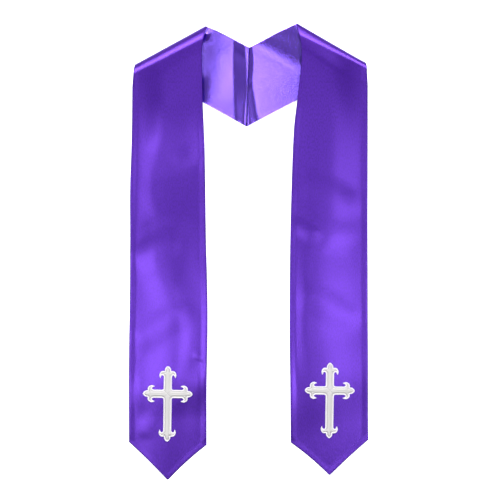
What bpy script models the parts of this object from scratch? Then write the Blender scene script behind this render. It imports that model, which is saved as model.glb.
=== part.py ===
"""Satin clerical stole, laid flat and folded over at the shoulders.

Two long bands with pointed ends meet in a mitred seam at the back of the neck. Each band
is two layers of satin, a face and a lining, sewn together along the edges. It lies on its
face behind the neck, turns over in a soft roll at the shoulder, and comes down the front
with its face up. An embroidered cross is sewn to each front, just above the point.

The stole lies on the plane z = 0. X runs across it, +Y runs from the points towards the
neck and +Z is up. Sizes are in millimetres and turn to metres where a mesh is made.
"""

import math
from typing import NamedTuple

import bmesh
import bpy
import numpy as np
from mathutils import Vector

MM = 0.001

# Cloth layers: a wall's thickness, the gap between pieces, the share of the wall left at a
# sewn edge, the width over which it thins, and where its one ring of points lies in there
WALL = 1.0
PIECE_GAP = 0.3
EDGE_SHARE = 0.4
EDGE_ROLL = 3.0
EDGE_RING = 0.35
REST_HEIGHT = WALL + PIECE_GAP / 2

# Centre back seam, from the neck edge to the lower point of the V
SEAM_TOP = (1.1, 339.7)
SEAM_POINT = (-3.6, 208.0)

# How each half is divided along its length and across its width
YOKE_STEPS = 7
UNDER_STEPS = 5
OVER_STEPS = 8
RUN_STEPS = 4
FRONT_STEPS = 20
ACROSS_STEPS = 8

# Where the roll's own sections hand over to the front's sections
RUN_START = 60.0

# Distances from the fold at which the front's edges are on their line, and at which it
# lies flat again
ON_LINE = 38.0
LANDING = 240.0

# How far the pointed hem's two runs bend in, as a share of the point's length, and the
# share of the front's length at which its sections start to follow the point
HEM_HOLLOW = 0.03
HEM_START = 0.72

# The box's centre, which the model is moved by, so that the origin lies under the middle
BOX_CENTRE = (-0.372, -1.735)


class Edge(NamedTuple):
    """A row of a front's outline: the distances of its two long edges from the centre line."""

    y: float
    inner: float
    outer: float


class Roll(NamedTuple):
    """The shoulder roll's section at one end of the fold."""

    under_reach: float
    nose_height: float
    crown_reach: float
    crown_height: float


class Swell(NamedTuple):
    """A long soft rise of a front off the surface."""

    y_top: float
    y_bottom: float
    x_top: float
    x_bottom: float
    half_width: float
    height: float


class Half(NamedTuple):
    """One half of the stole. Distances from the centre line are positive outwards."""

    name: str
    side: int
    fold_inner: tuple
    fold_outer: tuple
    lower_edge_meets_fold: float
    edge_on_nose: tuple
    roll_at_neck: Roll
    roll_at_arm: Roll
    edges: tuple
    hem_inner: float
    hem_outer: float
    hem_tip: float
    swells: tuple
    cross_at: tuple
    cross_lean: float


LEFT = Half(
    name="left",
    side=-1,
    fold_inner=(68.9, 375.2),
    fold_outer=(193.0, 307.6),
    lower_edge_meets_fold=136.0,
    edge_on_nose=(4.0, 136.5),
    roll_at_neck=Roll(under_reach=15.0, nose_height=8.0, crown_reach=20.0, crown_height=17.0),
    roll_at_arm=Roll(under_reach=7.0, nose_height=5.5, crown_reach=19.0, crown_height=15.0),
    edges=(
        Edge(y=319.0, inner=78.0, outer=192.6),
        Edge(y=246.0, inner=76.2, outer=193.0),
        Edge(y=186.0, inner=73.7, outer=194.2),
        Edge(y=102.0, inner=72.2, outer=197.4),
        Edge(y=19.0, inner=71.1, outer=197.6),
        Edge(y=-64.0, inner=68.9, outer=197.9),
        Edge(y=-106.0, inner=68.4, outer=198.4),
        Edge(y=-148.0, inner=68.7, outer=199.2),
        Edge(y=-231.0, inner=70.2, outer=199.8),
        Edge(y=-320.0, inner=70.2, outer=199.5),
    ),
    hem_inner=-322.2,
    hem_outer=-317.3,
    hem_tip=-380.7,
    swells=(
        Swell(y_top=285, y_bottom=95, x_top=158, x_bottom=176, half_width=34, height=2.2),
        Swell(y_top=70, y_bottom=-150, x_top=160, x_bottom=178, half_width=30, height=1.6),
    ),
    cross_at=(134.8, -236.8),
    cross_lean=-0.8,
)

RIGHT = Half(
    name="right",
    side=1,
    fold_inner=(77.2, 378.6),
    fold_outer=(197.4, 311.0),
    lower_edge_meets_fold=135.7,
    edge_on_nose=(6.0, 134.2),
    roll_at_neck=Roll(under_reach=26.0, nose_height=9.0, crown_reach=16.0, crown_height=17.5),
    roll_at_arm=Roll(under_reach=7.0, nose_height=5.5, crown_reach=14.0, crown_height=13.0),
    edges=(
        Edge(y=319.0, inner=87.6, outer=197.0),
        Edge(y=292.0, inner=85.1, outer=197.2),
        Edge(y=252.0, inner=80.4, outer=197.3),
        Edge(y=206.0, inner=75.2, outer=197.5),
        Edge(y=186.0, inner=74.1, outer=197.6),
        Edge(y=102.0, inner=71.1, outer=197.9),
        Edge(y=19.0, inner=69.1, outer=198.0),
        Edge(y=-64.0, inner=68.2, outer=198.3),
        Edge(y=-148.0, inner=68.1, outer=198.4),
        Edge(y=-231.0, inner=69.2, outer=198.6),
        Edge(y=-320.0, inner=69.9, outer=199.1),
    ),
    hem_inner=-318.2,
    hem_outer=-313.3,
    hem_tip=-372.7,
    swells=(
        Swell(y_top=290, y_bottom=60, x_top=160, x_bottom=168, half_width=32, height=2.2),
        Swell(y_top=40, y_bottom=-150, x_top=152, x_bottom=158, half_width=34, height=1.8),
    ),
    cross_at=(134.7, -231.2),
    cross_lean=-0.7,
)

# Embroidered cross: arm lengths from its centre to the tips, and the width of its arms
CROSS_UP = 46.3
CROSS_DOWN = 79.7
CROSS_SIDE = 41.6
CROSS_ARM = 13.8
CROSS_FILLET = 2.4
CROSS_EDGE = 0.9
CROSS_HEIGHT = 2.0
CROSS_BEVEL = 1.1

# Steps between two of the cross's outline points, and how its sloping rim keeps to the
# thin ends: points this near count as neighbours, and it takes this share of the room
OUTLINE_STEPS = 3
BESIDE_STEPS = 2
INSET_SHARE = 0.3


class FinialPoint(NamedTuple):
    """A point of the flowered arm end, from the tip back along the arm and out from its axis."""

    from_tip: float
    out: float
    corner: bool


FINIAL = (
    FinialPoint(from_tip=17.6, out=6.9, corner=True),
    FinialPoint(from_tip=15.3, out=9.0, corner=False),
    FinialPoint(from_tip=17.0, out=11.0, corner=False),
    FinialPoint(from_tip=19.3, out=11.8, corner=False),
    FinialPoint(from_tip=19.5, out=13.1, corner=False),
    FinialPoint(from_tip=14.4, out=14.3, corner=False),
    FinialPoint(from_tip=9.9, out=12.2, corner=False),
    FinialPoint(from_tip=8.2, out=9.0, corner=False),
    FinialPoint(from_tip=8.4, out=5.4, corner=True),
    FinialPoint(from_tip=5.0, out=5.2, corner=False),
    FinialPoint(from_tip=1.7, out=3.0, corner=False),
    FinialPoint(from_tip=0.0, out=0.0, corner=False),
)

# Colours of the satin and of the thread
SATIN = {"color": (0.150, 0.040, 0.560, 1.0), "roughness": 0.38}
LINING = {"color": (0.150, 0.040, 0.560, 1.0), "roughness": 0.42}
THREAD = {"color": (0.86, 0.86, 0.88, 1.0), "roughness": 0.55}
SHARP_ANGLE = 40.0


def smooth_step(t):
    """0 below 0, 1 above 1, and a smooth rise between them."""
    t = np.clip(t, 0.0, 1.0)
    return t * t * (3.0 - 2.0 * t)


def smooth_table(x, knots, values):
    """A cubic curve through a short table. Its slope at a row comes from the rows beside it."""
    order = np.argsort(knots)
    knots = np.asarray(knots, float)[order]
    values = np.asarray(values, float)[order]
    slopes = np.gradient(values, knots)
    x = np.clip(x, knots[0], knots[-1])
    k = np.clip(np.searchsorted(knots, x) - 1, 0, len(knots) - 2)
    width = knots[k + 1] - knots[k]
    t = (x - knots[k]) / width
    return (
        (1 + 2 * t) * (1 - t) ** 2 * values[k]
        + t * (1 - t) ** 2 * width * slopes[k]
        + t * t * (3 - 2 * t) * values[k + 1]
        + t * t * (t - 1) * width * slopes[k + 1]
    )


def fold_frame(half):
    """The fold's inner end, the direction along it to the arm, and the direction inwards."""
    start = np.array([half.side * half.fold_inner[0], half.fold_inner[1]])
    end = np.array([half.side * half.fold_outer[0], half.fold_outer[1]])
    along = (end - start) / np.linalg.norm(end - start)
    inward = np.array([-along[1], along[0]])
    if inward[1] > 0:
        inward = -inward
    return start, along, inward


def roll_at(half, across):
    """The roll's section at a share of the width, blended between the neck and the arm."""
    blended = [a + (b - a) * across for a, b in zip(half.roll_at_neck, half.roll_at_arm)]
    return Roll(*blended)


def front_height(half, x, y):
    """Height of a front's middle surface: it falls from the crown of the roll to the floor."""
    start, along, inward = fold_frame(half)
    dx = x - start[0]
    dy = y - start[1]
    inwards = dx * inward[0] + dy * inward[1]
    across = np.clip((dx * along[0] + dy * along[1]) / half.lower_edge_meets_fold, 0.0, 1.0)
    roll = roll_at(half, across)
    rise = np.clip(1.0 - inwards / roll.crown_reach, 0.0, 1.0)
    nose_side = roll.nose_height + (roll.crown_height - roll.nose_height) * np.sqrt(1 - rise**2)
    fall = np.clip((inwards - roll.crown_reach) / (LANDING - roll.crown_reach), 0.0, 1.0)
    run = REST_HEIGHT + (roll.crown_height - REST_HEIGHT) * 0.5 * (1 + np.cos(math.pi * fall))
    height = np.where(inwards < roll.crown_reach, nose_side, run)
    for swell in half.swells:
        share = (swell.y_top - y) / (swell.y_top - swell.y_bottom)
        line = half.side * (swell.x_top + (swell.x_bottom - swell.x_top) * share)
        beside = np.clip(np.abs(x - line) / swell.half_width, 0.0, 1.0)
        lengthways = np.sin(math.pi * np.clip(share, 0.0, 1.0)) ** 2
        height = height + swell.height * lengthways * 0.5 * (1 + np.cos(math.pi * beside))
    return height


def across_shares(width):
    """Shares of the width at which sections have points, closer together at the two edges."""
    near_edge = np.array([0.0, EDGE_RING, 1.0]) * EDGE_ROLL / width
    middle = np.linspace(0.0, 1.0, ACROSS_STEPS + 1)[1:-1]
    return np.concatenate([near_edge, middle, 1.0 - near_edge[::-1]])


def quarter_angles(steps):
    """Angles of a quarter turn, without its first, for one half of the roll's section."""
    return np.linspace(0.0, math.pi / 2, steps + 1)[1:]


def middle_surface(half):
    """Points of the surface between face and lining: one row for each section, neck to hem.

    The yoke is straight lines from the seam to where the roll leaves the floor. The roll's
    section is a quarter ellipse up to its nose, another over to its crown, and a long fall.
    The front follows the table of edges down to the pointed hem.
    """
    shares = across_shares(half.edges[-1].outer - half.edges[-1].inner)
    start, along, inward = fold_frame(half)
    seam = np.outer(1 - shares, SEAM_TOP) + np.outer(shares, SEAM_POINT)
    seam[:, 0] += half.side * PIECE_GAP / 2
    target = start + np.outer(shares * half.lower_edge_meets_fold, along)
    roll = roll_at(half, shares)

    seam_inwards = (seam - start) @ inward
    reach = 1 - roll.under_reach / seam_inwards
    contact = seam + (target - seam) * reach[:, None]
    contact_along = (contact - start) @ along
    nose_along = half.edge_on_nose[0] + shares * (half.edge_on_nose[1] - half.edge_on_nose[0])

    rows = []
    for share in np.linspace(0.0, 1.0, YOKE_STEPS + 1):
        plan = seam + (contact - seam) * share
        rows.append(np.column_stack([plan, np.full(len(shares), REST_HEIGHT)]))

    for turn in quarter_angles(UNDER_STEPS):
        inwards = roll.under_reach * (1 - math.sin(turn))
        height = REST_HEIGHT + (roll.nose_height - REST_HEIGHT) * (1 - math.cos(turn))
        at = contact_along + (nose_along - contact_along) * turn / (math.pi / 2)
        plan = start + at[:, None] * along + inwards[:, None] * inward
        rows.append(np.column_stack([plan, height]))

    over_turns = quarter_angles(OVER_STEPS)
    run_shares = np.linspace(0.0, 1.0, RUN_STEPS + 1)[1:]
    run_inwards = [roll.crown_reach * (1 - math.cos(turn)) for turn in over_turns]
    run_inwards += [roll.crown_reach + (RUN_START - roll.crown_reach) * s for s in run_shares]
    slant = front_slant(half)
    arc = np.zeros(len(shares))
    last = rows[-1]
    for inwards in run_inwards:
        at = nose_along + slant * arc
        plan = start + at[:, None] * along + inwards[:, None] * inward
        height = front_height(half, plan[:, 0], plan[:, 1])
        step = np.hypot(inwards - (last[:, :2] - start) @ inward, height - last[:, 2])
        arc = arc + step
        at = nose_along + slant * arc
        plan = start + at[:, None] * along + inwards[:, None] * inward
        plan = on_edges(half, plan, shares, smooth_step(inwards / ON_LINE))
        last = np.column_stack([plan, front_height(half, plan[:, 0], plan[:, 1])])
        rows.append(last)

    top = rows[-1][:, 1]
    hem = hem_line(half, shares)
    last_step = EDGE_ROLL / (top.min() - hem.max())
    front_shares = np.linspace(0.0, 1.0, FRONT_STEPS + 1)[1:-1]
    for share in [*front_shares, 1.0 - last_step, 1.0 - EDGE_RING * last_step, 1.0]:
        square = top + (hem_square(half, shares) - top) * share
        towards_hem = smooth_step((share - HEM_START) / (1.0 - HEM_START))
        point = (hem - hem_square(half, shares)) * towards_hem
        y = square + point
        plan = on_edges(half, np.column_stack([np.zeros_like(y), y]), shares, 1.0)
        rows.append(np.column_stack([plan, front_height(half, plan[:, 0], plan[:, 1])]))
    return np.array(rows), shares


def front_slant(half):
    """How far the front's edges move along the fold for each millimetre away from it."""
    _, along, inward = fold_frame(half)
    return along[1] / inward[1]


def on_edges(half, plan, shares, amount):
    """Moves plan points sideways, by a share of the way, to their place between the edges."""
    y = plan[:, 1]
    rows = half.edges
    inner = smooth_table(y, [r.y for r in rows], [r.inner for r in rows])
    outer = smooth_table(y, [r.y for r in rows], [r.outer for r in rows])
    wanted = half.side * (inner + shares * (outer - inner))
    moved = plan.copy()
    moved[:, 0] += (wanted - plan[:, 0]) * amount
    return moved


def hem_square(half, shares):
    """The hem's height across the width if it ended square, between its two corners."""
    return half.hem_inner + (half.hem_outer - half.hem_inner) * shares


def hem_line(half, shares):
    """The pointed hem's Y across the width: two runs that bend in a little to the tip."""
    towards_tip = 1.0 - np.abs(2.0 * shares - 1.0)
    length_share = towards_tip - HEM_HOLLOW * np.sin(math.pi * towards_tip)
    square = hem_square(half, shares)
    return square + (half.hem_tip - square) * length_share


def face_directions(half, points):
    """The unit direction out of the face at each point of the middle surface."""
    lengthways = np.gradient(points, axis=0)
    crossways = np.gradient(points, axis=1)
    out = np.cross(lengthways, crossways) * half.side
    return out / np.linalg.norm(out, axis=2, keepdims=True)


def edge_fullness(points, shares):
    """Share of the wall's thickness at each point: it rounds down at the edges and the hem."""
    count = len(points)
    width = np.linalg.norm(points[-1, -1] - points[-1, 0])
    from_side = np.minimum(shares, 1 - shares) * width / EDGE_ROLL
    from_hem = np.full(count, 1.0)
    from_hem[-2:] = (EDGE_RING, 0.0)
    nearest = np.minimum(from_hem[:, None], from_side[None, :])
    rounding = np.sqrt(1 - (1 - np.clip(nearest, 0.0, 1.0)) ** 2)
    return EDGE_SHARE + (1 - EDGE_SHARE) * rounding


def closed_wall(name, inside, outside, flip, material, collection):
    """A closed wall between two grids of points: both grids, and a rim round their edges."""
    rows, columns = inside.shape[:2]
    bm = bmesh.new()
    grids = [
        [[bm.verts.new(Vector(p) * MM) for p in row] for row in grid]
        for grid in (inside, outside)
    ]
    for grid, turned in zip(grids, (not flip, flip)):
        for i in range(rows - 1):
            for j in range(columns - 1):
                quad = [grid[i][j], grid[i + 1][j], grid[i + 1][j + 1], grid[i][j + 1]]
                bm.faces.new(quad[::-1] if turned else quad)
    border = [(i, 0) for i in range(rows)]
    border += [(rows - 1, j) for j in range(1, columns)]
    border += [(i, columns - 1) for i in range(rows - 2, -1, -1)]
    border += [(0, j) for j in range(columns - 2, 0, -1)]
    for (i, j), (k, m) in zip(border, border[1:] + border[:1]):
        quad = [grids[0][i][j], grids[0][k][m], grids[1][k][m], grids[1][i][j]]
        bm.faces.new(quad if not flip else quad[::-1])
    bmesh.ops.recalc_face_normals(bm, faces=bm.faces)
    return finished(name, bm, material, collection)


def finished(name, bm, material, collection):
    """The named object made from a bmesh, moved so that the origin is under the middle."""
    shift = Vector((BOX_CENTRE[0], BOX_CENTRE[1], 0.0)) * MM
    bmesh.ops.translate(bm, verts=bm.verts, vec=-shift)
    mesh = bpy.data.meshes.new(name)
    bm.to_mesh(mesh)
    bm.free()
    mesh.materials.append(material)
    mesh.shade_smooth()
    mesh.set_sharp_from_angle(angle=math.radians(SHARP_ANGLE))
    piece = bpy.data.objects.new(name, mesh)
    collection.objects.link(piece)
    return piece


def build_half(half, satin, lining, collection):
    """The face and the lining of one half, each a wall on its own side of the middle."""
    points, shares = middle_surface(half)
    out = face_directions(half, points)
    near = PIECE_GAP / 2
    far = near + WALL * edge_fullness(points, shares)[:, :, None]
    for piece, way, material in (("face", 1.0, satin), ("lining", -1.0, lining)):
        inside = points + out * near * way
        outside = points + out * far * way
        flip = (half.side * way) > 0
        closed_wall(f"{half.name}_{piece}", inside, outside, flip, material, collection)


def smooth_run(points, corners):
    """Points on smooth curves through an outline's points, with its corners kept sharp."""
    count = len(points)
    found = []
    for k in range(count):
        here = points[k]
        there = points[(k + 1) % count]
        before = here if corners[k] else points[k - 1]
        after = there if corners[(k + 1) % count] else points[(k + 2) % count]
        for t in np.arange(OUTLINE_STEPS) / OUTLINE_STEPS:
            found.append(
                0.5
                * (
                    2 * here
                    + (there - before) * t
                    + (2 * before - 5 * here + 4 * there - after) * t**2
                    + (3 * here - before - 3 * there + after) * t**3
                )
            )
    return np.array(found)


def cross_outline():
    """The cross's outline in its own plane, anticlockwise, centre at the crossing."""
    arms = ((90, CROSS_UP), (180, CROSS_SIDE), (270, CROSS_DOWN), (0, CROSS_SIDE))
    half_arm = CROSS_ARM / 2
    points = []
    corners = []
    for angle, length in arms:
        turn = math.radians(angle)
        ahead = np.array([math.cos(turn), math.sin(turn)])
        left = np.array([-ahead[1], ahead[0]])
        right_side = list(FINIAL)
        left_side = list(FINIAL[-2::-1])
        root = half_arm + CROSS_FILLET
        points.append(ahead * root - left * half_arm)
        corners.append(True)
        for sign, run in ((-1.0, right_side), (1.0, left_side)):
            for p in run:
                points.append(ahead * (length - p.from_tip) + left * sign * p.out)
                corners.append(p.corner)
        points.append(ahead * root + left * half_arm)
        corners.append(True)
        points.append((ahead + left) * (root - CROSS_FILLET / math.sqrt(2)))
        corners.append(False)
    return smooth_run(points, corners)


def inset(outline, distance):
    """The outline moved inwards by a distance, or by less where the shape is thin.

    Each point moves along the mean direction of its two sides. A point's room is its
    distance to the nearest point of the outline that isn't beside it.
    """
    count = len(outline)
    apart = np.linalg.norm(outline[:, None] - outline[None, :], axis=2)
    steps = np.abs(np.arange(count)[:, None] - np.arange(count)[None, :])
    beside = np.minimum(steps, count - steps) <= BESIDE_STEPS
    room = np.where(beside, np.inf, apart).min(axis=1)
    distance = np.minimum(distance, INSET_SHARE * room)[:, None]
    after = np.roll(outline, -1, axis=0) - outline
    before = outline - np.roll(outline, 1, axis=0)
    tangent = after / np.linalg.norm(after, axis=1)[:, None]
    tangent += before / np.linalg.norm(before, axis=1)[:, None]
    tangent /= np.maximum(np.linalg.norm(tangent, axis=1), 1e-6)[:, None]
    inwards = np.column_stack([-tangent[:, 1], tangent[:, 0]])
    return outline + inwards * distance


def build_cross(half, material, collection):
    """The embroidered cross: an upright edge, a slope up from it, and a flat top."""
    outline = cross_outline()
    floor = 2 * WALL + 2 * PIECE_GAP
    lean = math.radians(half.cross_lean)
    turn = np.array([[math.cos(lean), -math.sin(lean)], [math.sin(lean), math.cos(lean)]])
    at = np.array([half.side * half.cross_at[0], half.cross_at[1]])
    levels = (
        (outline, 0.0),
        (outline, CROSS_EDGE),
        (inset(outline, CROSS_BEVEL), CROSS_HEIGHT),
    )
    bm = bmesh.new()
    rings = []
    for ring, height in levels:
        placed = ring @ turn.T + at
        rings.append([bm.verts.new(Vector((*p, floor + height)) * MM) for p in placed])
    bm.faces.new(rings[0][::-1])
    bm.faces.new(rings[-1])
    for low, high in zip(rings, rings[1:]):
        for k in range(len(low)):
            n = (k + 1) % len(low)
            bm.faces.new((low[k], low[n], high[n], high[k]))
    bm.normal_update()
    bmesh.ops.triangulate(bm, faces=bm.faces)
    return finished(f"{half.name}_cross", bm, material, collection)


def make_material(name, finish):
    """A plain surface with the piece's colour and roughness."""
    material = bpy.data.materials.new(name)
    material.use_nodes = True
    shader = material.node_tree.nodes["Principled BSDF"]
    shader.inputs["Base Color"].default_value = finish["color"]
    shader.inputs["Roughness"].default_value = finish["roughness"]
    shader.inputs["Metallic"].default_value = 0.0
    return material


def main():
    """Clears the scene and builds the six pieces."""
    for old in list(bpy.data.objects):
        bpy.data.objects.remove(old)
    collection = bpy.data.collections.new("clerical_stole")
    bpy.context.scene.collection.children.link(collection)
    satin = make_material("purple_satin", SATIN)
    lining = make_material("purple_satin_lining", LINING)
    thread = make_material("white_thread", THREAD)
    for half in (LEFT, RIGHT):
        build_half(half, satin, lining, collection)
        build_cross(half, thread, collection)


main()
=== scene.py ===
"""Satin clerical stole, laid flat and folded over at the shoulders.

The stole is two bands of satin, each a face and a lining that are sewn together along
their edges. Each layer is a thin shell worked out on one middle surface, which carries the
fall of the shoulder roll, the long swells and the creases. An embroidered cross lies on
each front: a raised core of satin stitches with a corded border.

Plan places have X across the stole, +Y towards the neck and the stole's centre line at
X = 0. Sizes are in millimetres, and turn to metres where a mesh is made.
"""

from __future__ import annotations

import logging
import math
from dataclasses import astuple, dataclass
from enum import Enum
from typing import Any

import bpy
import numpy as np
from mathutils import Matrix, Vector

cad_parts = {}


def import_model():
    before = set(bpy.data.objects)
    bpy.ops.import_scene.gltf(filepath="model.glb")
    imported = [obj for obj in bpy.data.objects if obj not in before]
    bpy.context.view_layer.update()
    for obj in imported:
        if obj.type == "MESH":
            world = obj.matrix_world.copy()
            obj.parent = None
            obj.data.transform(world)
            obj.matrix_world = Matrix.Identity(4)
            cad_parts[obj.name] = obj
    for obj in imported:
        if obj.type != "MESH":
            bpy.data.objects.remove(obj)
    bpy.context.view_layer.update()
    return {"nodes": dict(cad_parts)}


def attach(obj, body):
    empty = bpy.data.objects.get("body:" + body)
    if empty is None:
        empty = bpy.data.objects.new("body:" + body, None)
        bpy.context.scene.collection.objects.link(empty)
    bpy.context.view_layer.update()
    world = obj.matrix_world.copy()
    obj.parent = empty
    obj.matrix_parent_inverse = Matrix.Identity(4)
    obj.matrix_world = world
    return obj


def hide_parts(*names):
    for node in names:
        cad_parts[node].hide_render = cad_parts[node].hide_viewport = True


LOG = logging.getLogger("clerical_stole")

MM = 0.001

# Plan place of the frame's origin, which lies under the middle of the stole's box
ORIGIN = np.array([-0.372, -1.735])

# Height of the surface between face and lining where the stole lies flat
REST_HEIGHT = 1.15

# Centre back seam, from the neck edge to the lower point of the V
SEAM_TOP = np.array([1.1, 339.7])
SEAM_POINT = np.array([-3.6, 208.0])

# The halves stand this far apart at the seam, closer than light from the table can pass
SEAM_GAP = 0.05

# Width of the band at the neck and at the hem, and its length on the centre line
WIDTH_AT_NECK = 114.0
WIDTH_AT_HEM = 129.0

# Distances from the fold: where the roll's sections end, where the front's edges are on
# their line, and where the front lies flat again
RUN_START = 60.0
ON_LINE = 38.0
LANDING = 240.0

# Distances from the centre back seam between which the sewn edges come to full thickness
FULL_FROM = 200.0
FULL_AT = 260.0

# The pointed hem's share of that thickness
HEM_FULLNESS = 0.3

HEM_HOLLOW = 0.03
HEM_START = 0.72


def smooth_step(t: np.ndarray) -> np.ndarray:
    """The rise 3t^2 - 2t^3 between 0 and 1, flat outside them.

    Args:
        t: Any array of numbers.

    Returns:
        An array of the same shape, from 0 to 1.
    """
    t = np.clip(t, 0.0, 1.0)
    return t * t * (3.0 - 2.0 * t)


def smooth_table(x: np.ndarray, knots: np.ndarray, values: np.ndarray) -> np.ndarray:
    """A cubic Hermite curve through a short table, with slopes from the rows beside each row.

    Args:
        x: Where to read the curve.
        knots: The table's first column, in any order.
        values: The table's second column.

    Returns:
        The curve's value at each x, held constant past the table's ends.
    """
    order = np.argsort(knots)
    knots, values = knots[order], values[order]
    slopes = np.gradient(values, knots)
    x = np.clip(x, knots[0], knots[-1])
    k = np.clip(np.searchsorted(knots, x) - 1, 0, len(knots) - 2)
    width = knots[k + 1] - knots[k]
    t = (x - knots[k]) / width
    return (
        (1 + 2 * t) * (1 - t) ** 2 * values[k]
        + t * (1 - t) ** 2 * width * slopes[k]
        + t * t * (3 - 2 * t) * values[k + 1]
        + t * t * (t - 1) * width * slopes[k + 1]
    )


def slide(t: np.ndarray, start: float, end: float) -> np.ndarray:
    """The share of a fall that is done: an even slope with soft ends.

    The slope eases in as 3t^2 - 2t^3 over the start and out over the end.

    Args:
        t: Share of the way, 0 to 1.
        start: Share of the way over which the slope eases in.
        end: Share of the way over which it eases out.

    Returns:
        Values from 0 to 1.
    """
    ease_in = np.clip(t / start, 0, 1)
    ease_out = np.clip((1 - t) / end, 0, 1)
    done = start * (ease_in**3 - ease_in**4 / 2) + np.clip(t - start, 0, 1 - start - end)
    done += end * (0.5 - ease_out**3 + ease_out**4 / 2)
    return done / (1 - (start + end) / 2)


def linear_rgb(hex_colour: str) -> tuple[float, float, float, float]:
    """The linear colour of an sRGB hex value such as "#50269C".

    Args:
        hex_colour: A hash sign and six hex digits.

    Returns:
        Red, green, blue and an alpha of 1.
    """
    srgb = np.array([int(hex_colour[i : i + 2], 16) for i in (1, 3, 5)]) / 255.0
    linear = np.where(srgb <= 0.04045, srgb / 12.92, ((srgb + 0.055) / 1.055) ** 2.4)
    return (float(linear[0]), float(linear[1]), float(linear[2]), 1.0)


def mesh_object(name: str, verts: np.ndarray, quads: np.ndarray, uv: np.ndarray | None) -> Any:
    """A smooth mesh object at the origin, from whole arrays.

    Args:
        name: The object's name.
        verts: Vertex places in plan millimetres, one row each.
        quads: Four vertex numbers a row.
        uv: The cloth place of each vertex in metres, or None for no UV map.

    Returns:
        The new object, linked to the scene.
    """
    placed = verts.copy()
    placed[:, :2] -= ORIGIN
    mesh = bpy.data.meshes.new(name)
    mesh.vertices.add(len(placed))
    mesh.vertices.foreach_set("co", (placed * MM).astype(np.float32).ravel())
    mesh.loops.add(quads.size)
    mesh.loops.foreach_set("vertex_index", quads.astype(np.int32).ravel())
    mesh.polygons.add(len(quads))
    mesh.polygons.foreach_set("loop_start", np.arange(0, quads.size, 4, dtype=np.int32))
    mesh.polygons.foreach_set("use_smooth", np.ones(len(quads), dtype=bool))
    if uv is not None:
        layer = mesh.uv_layers.new(name=CLOTH_UV)
        layer.data.foreach_set("uv", uv[quads.ravel()].astype(np.float32).ravel())
    mesh.update(calc_edges=True)
    mesh.validate()
    piece = bpy.data.objects.new(name, mesh)
    bpy.context.scene.collection.objects.link(piece)
    return piece


def grid_quads(rows: int, columns: int, first: int = 0, closed_rows: bool = False) -> np.ndarray:
    """The quads of a grid of vertices that are numbered row by row.

    Args:
        rows: Number of rows.
        columns: Number of columns.
        first: Number of the grid's first vertex.
        closed_rows: Whether the last row joins the first.

    Returns:
        Vertex numbers, four a row.
    """
    index = np.arange(rows * columns).reshape(rows, columns) + first
    if closed_rows:
        index = np.vstack([index, index[:1]])
    corners = (index[:-1, :-1], index[1:, :-1], index[1:, 1:], index[:-1, 1:])
    return np.stack(corners, axis=-1).reshape(-1, 4)


CLOTH_UV = "cloth"


class Layer(Enum):
    """The two layers of a band, and the way each lies from the surface between them."""

    FACE = 1
    LINING = -1

    @property
    def word(self) -> str:
        """The layer's word in a node's name."""
        return self.name.lower()


@dataclass(frozen=True)
class Edge:
    """A row of a front's outline: its edges' distances from the centre line."""

    y: float
    inner: float
    outer: float


@dataclass(frozen=True)
class Roll:
    """The shoulder roll's section: how far and how high its nose and its crown are.

    Over the nose it is a superellipse. A power of 2 is an ellipse, and a lower one gives it
    a straighter flank and a tighter crown.
    """

    under_reach: Any
    nose_height: Any
    crown_reach: Any
    crown_height: Any
    power: Any

    def towards(self, other: "Roll", share: np.ndarray) -> "Roll":
        """The section at a share of the way to the other, which it nears fast at first."""
        blend = np.sin(np.pi / 2 * share)
        pairs = zip(astuple(self), astuple(other))
        return Roll(*(mine + (its - mine) * blend for mine, its in pairs))

    def over(self, back: np.ndarray) -> np.ndarray:
        """Height over the nose, for a share of the way back from the crown to the nose."""
        rise = (1 - back**self.power) ** (1 / self.power)
        return self.nose_height + (self.crown_height - self.nose_height) * rise


@dataclass(frozen=True)
class Crease:
    """A soft ridge or trough along a straight line in plan.

    Its section is a raised cosine, 0.5 * (1 + cos(pi * d / width)), with its own width on
    each side of the line, and it fades in and out at its ends.
    """

    start: tuple[float, float]
    end: tuple[float, float]
    left: float
    right: float
    height: float
    fade: float

    def at(self, x: np.ndarray, y: np.ndarray) -> np.ndarray:
        """The crease's height over plan places.

        Args:
            x: Plan X of each place.
            y: Plan Y of each place.

        Returns:
            Millimetres of rise, negative in a trough.
        """
        way = np.subtract(self.end, self.start)
        length = float(np.hypot(*way))
        way = way / length
        dx, dy = x - self.start[0], y - self.start[1]
        along = dx * way[0] + dy * way[1]
        beside = way[0] * dy - way[1] * dx
        width = np.where(beside > 0, self.left, self.right)
        section = 0.5 * (1 + np.cos(np.pi * np.clip(np.abs(beside) / width, 0, 1)))
        ends = smooth_step(np.minimum(along, length - along) / self.fade)
        return self.height * section * ends


@dataclass(frozen=True)
class Station:
    """A place along a ridge: its crest's distance from the centre line, and its flanks."""

    y: float
    crest: float
    inner: float
    outer: float
    height: float


@dataclass(frozen=True)
class Ridge:
    """A ridge along the band. It wanders, widens and fades as its stations say.

    Each flank falls from the crest with an even slope that is soft at both ends.
    """

    stations: tuple[Station, ...]
    crest_softness: float = 0.45
    foot_softness: float = 0.45

    def at(self, out: np.ndarray, y: np.ndarray) -> np.ndarray:
        """The ridge's height over plan places.

        Args:
            out: Distance of each place from the centre line.
            y: Plan Y of each place.

        Returns:
            Millimetres of rise, negative in a trough.
        """
        rows = np.array([[p.y, p.crest, p.inner, p.outer, p.height] for p in self.stations])
        crest, inner, outer, height = (smooth_table(y, rows[:, 0], rows[:, k]) for k in range(1, 5))
        beside = out - crest
        share = np.clip(np.abs(beside) / np.where(beside < 0, inner, outer), 0, 1)
        return height * (1 - slide(share, self.crest_softness, self.foot_softness))


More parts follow.
